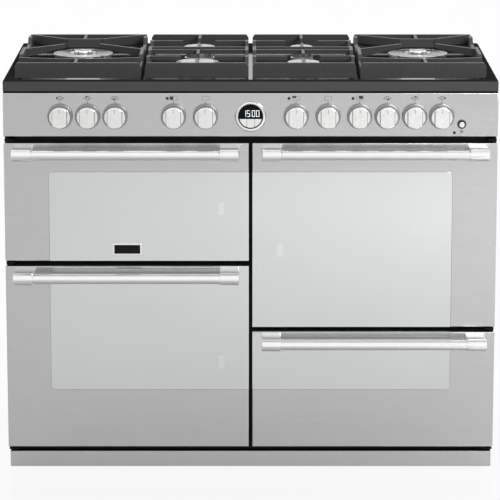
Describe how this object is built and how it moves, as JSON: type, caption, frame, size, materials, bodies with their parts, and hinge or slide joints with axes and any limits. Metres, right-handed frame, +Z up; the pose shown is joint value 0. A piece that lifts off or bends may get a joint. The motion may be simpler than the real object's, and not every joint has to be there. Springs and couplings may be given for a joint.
{
  "type": "range cooker",
  "caption": "Wide floor-standing dual-fuel range cooker with side-hung mirror-glass oven doors, bar handles, control knobs, a round timer and a gas hob with lift-off pan supports",
  "frame": {"origin": "on the floor, under the middle of the outline", "axes": "+X to the right seen from the front, +Y to the back, +Z up; the doors face -Y"},
  "size_m": [1.1, 0.6635, 0.93],
  "materials": {
    "brushed_steel": "fine brushed grain",
    "mirror_glass": "silvered toughened glass",
    "polished_chrome": "polished",
    "button_metal": "satin",
    "cast_iron": "matte black enamel",
    "black_enamel": "gloss enamel",
    "cavity_enamel": "vitreous enamel",
    "zinc_steel": "zinc coated",
    "burner_alloy": "cast, satin",
    "ceramic": "glazed",
    "seal_rubber": "matte",
    "mineral_wool": "fibrous",
    "rack_wire": "bright wire",
    "element_sheath": "oxidised sheath",
    "rail_brass": "plain",
    "switch_plastic": "moulded",
    "timer_black": "gloss",
    "lens": "tinted"
  },
  "bodies": {
    "cooker": {"back_panel": "zinc_steel", "base_pan": "zinc_steel", "burner_caps": "burner_alloy", "burner_crowns": "burner_alloy", "control_fascia": "brushed_steel", "door_seals": "seal_rubber", "fan_covers": "cavity_enamel", "fan_motors": "zinc_steel", "front_frame": "black_enamel", "gas_rail": "rail_brass", "heating_elements": "element_sheath", "hinge_brackets": "zinc_steel", "hob_tray": "black_enamel", "indicator_lenses": "lens", "levelling_feet": "zinc_steel", "oven_insulation": "mineral_wool", "oven_liners": "cavity_enamel", "oven_racks": "rack_wire", "oven_switches": "switch_plastic", "plinth": "brushed_steel", "side_panels": "black_enamel", "spark_electrodes": "ceramic", "timer_module": "timer_black"},
    "upper_left_door": {"upper_left_door_skin": "brushed_steel", "upper_left_mirror_glass": "mirror_glass", "upper_left_door_inner": "cavity_enamel", "upper_left_door_handle": "polished_chrome"},
    "lower_left_door": {"lower_left_door_skin": "brushed_steel", "lower_left_mirror_glass": "mirror_glass", "lower_left_door_inner": "cavity_enamel", "lower_left_door_handle": "polished_chrome"},
    "upper_right_door": {"upper_right_door_skin": "brushed_steel", "upper_right_mirror_glass": "mirror_glass", "upper_right_door_inner": "cavity_enamel", "upper_right_door_handle": "polished_chrome"},
    "lower_right_door": {"lower_right_door_skin": "brushed_steel", "lower_right_mirror_glass": "mirror_glass", "lower_right_door_inner": "cavity_enamel", "lower_right_door_handle": "polished_chrome"},
    "gas_knob_1_body": {"gas_knob_1": "polished_chrome"},
    "gas_knob_2_body": {"gas_knob_2": "polished_chrome"},
    "gas_knob_3_body": {"gas_knob_3": "polished_chrome"},
    "oven_knob_4_body": {"oven_knob_4": "polished_chrome"},
    "oven_knob_5_body": {"oven_knob_5": "polished_chrome"},
    "oven_knob_6_body": {"oven_knob_6": "polished_chrome"},
    "oven_knob_7_body": {"oven_knob_7": "polished_chrome"},
    "oven_knob_8_body": {"oven_knob_8": "polished_chrome"},
    "gas_knob_9_body": {"gas_knob_9": "polished_chrome"},
    "gas_knob_10_body": {"gas_knob_10": "polished_chrome"},
    "gas_knob_11_body": {"gas_knob_11": "polished_chrome"},
    "timer_button_left_body": {"timer_button_left": "button_metal"},
    "timer_button_middle_body": {"timer_button_middle": "button_metal"},
    "timer_button_right_body": {"timer_button_right": "button_metal"},
    "ignition_button_body": {"ignition_button": "button_metal"},
    "lower_left_oven_fan_body": {"lower_left_oven_fan": "zinc_steel"},
    "upper_right_oven_fan_body": {"upper_right_oven_fan": "zinc_steel"},
    "left_wok_support_body": {"left_wok_support": "cast_iron"},
    "left_centre_support_body": {"left_centre_support": "cast_iron"},
    "right_centre_support_body": {"right_centre_support": "cast_iron"},
    "right_wok_support_body": {"right_wok_support": "cast_iron"}
  },
  "joints": [
    {"name": "upper_left_door_hinge", "type": "hinge", "parent": "cooker", "child": "upper_left_door", "pos_m": [-0.539, -0.25125, 0.626], "axis": [0, 0, -1], "range_deg": [0, 105]},
    {"name": "lower_left_door_hinge", "type": "hinge", "parent": "cooker", "child": "lower_left_door", "pos_m": [-0.539, -0.25125, 0.27], "axis": [0, 0, -1], "range_deg": [0, 105]},
    {"name": "upper_right_door_hinge", "type": "hinge", "parent": "cooker", "child": "upper_right_door", "pos_m": [0.539, -0.25125, 0.55], "axis": [0, 0, 1], "range_deg": [0, 105]},
    {"name": "lower_right_door_hinge", "type": "hinge", "parent": "cooker", "child": "lower_right_door", "pos_m": [0.539, -0.25125, 0.194], "axis": [0, 0, 1], "range_deg": [0, 105]},
    {"name": "gas_knob_1_turn", "type": "hinge", "parent": "cooker", "child": "gas_knob_1_body", "pos_m": [-0.42295, -0.26825, 0.821], "axis": [0, -1, 0], "range_deg": [0, 210]},
    {"name": "gas_knob_2_turn", "type": "hinge", "parent": "cooker", "child": "gas_knob_2_body", "pos_m": [-0.3619, -0.26825, 0.821], "axis": [0, -1, 0], "range_deg": [0, 210]},
    {"name": "gas_knob_3_turn", "type": "hinge", "parent": "cooker", "child": "gas_knob_3_body", "pos_m": [-0.30085, -0.26825, 0.821], "axis": [0, -1, 0], "range_deg": [0, 210]},
    {"name": "oven_knob_4_turn", "type": "hinge", "parent": "cooker", "child": "oven_knob_4_body", "pos_m": [-0.17105, -0.26825, 0.821], "axis": [0, 1, 0], "range_deg": [0, 270]},
    {"name": "oven_knob_5_turn", "type": "hinge", "parent": "cooker", "child": "oven_knob_5_body", "pos_m": [-0.1001, -0.26825, 0.821], "axis": [0, 1, 0], "range_deg": [0, 270]},
    {"name": "oven_knob_6_turn", "type": "hinge", "parent": "cooker", "child": "oven_knob_6_body", "pos_m": [0.1012, -0.26825, 0.821], "axis": [0, 1, 0], "range_deg": [0, 270]},
    {"name": "oven_knob_7_turn", "type": "hinge", "parent": "cooker", "child": "oven_knob_7_body", "pos_m": [0.17215, -0.26825, 0.821], "axis": [0, 1, 0], "range_deg": [0, 270]},
    {"name": "oven_knob_8_turn", "type": "hinge", "parent": "cooker", "child": "oven_knob_8_body", "pos_m": [0.242, -0.26825, 0.821], "axis": [0, 1, 0], "range_deg": [0, 270]},
    {"name": "gas_knob_9_turn", "type": "hinge", "parent": "cooker", "child": "gas_knob_9_body", "pos_m": [0.30305, -0.26825, 0.821], "axis": [0, -1, 0], "range_deg": [0, 210]},
    {"name": "gas_knob_10_turn", "type": "hinge", "parent": "cooker", "child": "gas_knob_10_body", "pos_m": [0.3641, -0.26825, 0.821], "axis": [0, -1, 0], "range_deg": [0, 210]},
    {"name": "gas_knob_11_turn", "type": "hinge", "parent": "cooker", "child": "gas_knob_11_body", "pos_m": [0.42405, -0.26825, 0.821], "axis": [0, -1, 0], "range_deg": [0, 210]},
    {"name": "timer_button_left_press", "type": "slide", "parent": "cooker", "child": "timer_button_left_body", "axis": [0, 1, 0], "range_m": [0, 0.0015]},
    {"name": "timer_button_middle_press", "type": "slide", "parent": "cooker", "child": "timer_button_middle_body", "axis": [0, 1, 0], "range_m": [0, 0.0015]},
    {"name": "timer_button_right_press", "type": "slide", "parent": "cooker", "child": "timer_button_right_body", "axis": [0, 1, 0], "range_m": [0, 0.0015]},
    {"name": "ignition_button_press", "type": "slide", "parent": "cooker", "child": "ignition_button_body", "axis": [0, 1, 0], "range_m": [0, 0.003]},
    {"name": "lower_left_oven_fan_spin", "type": "hinge", "parent": "cooker", "child": "lower_left_oven_fan_body", "pos_m": [-0.277, 0.23175, 0.27], "axis": [0, 1, 0], "continuous": true},
    {"name": "upper_right_oven_fan_spin", "type": "hinge", "parent": "cooker", "child": "upper_right_oven_fan_body", "pos_m": [0.277, 0.23175, 0.55], "axis": [0, 1, 0], "continuous": true},
    {"name": "left_wok_support_lift", "type": "slide", "parent": "cooker", "child": "left_wok_support_body", "axis": [0, 0, 1], "range_m": [0, 0.12]},
    {"name": "left_centre_support_lift", "type": "slide", "parent": "cooker", "child": "left_centre_support_body", "axis": [0, 0, 1], "range_m": [0, 0.12]},
    {"name": "right_centre_support_lift", "type": "slide", "parent": "cooker", "child": "right_centre_support_body", "axis": [0, 0, 1], "range_m": [0, 0.12]},
    {"name": "right_wok_support_lift", "type": "slide", "parent": "cooker", "child": "right_wok_support_body", "axis": [0, 0, 1], "range_m": [0, 0.12]}
  ]
}
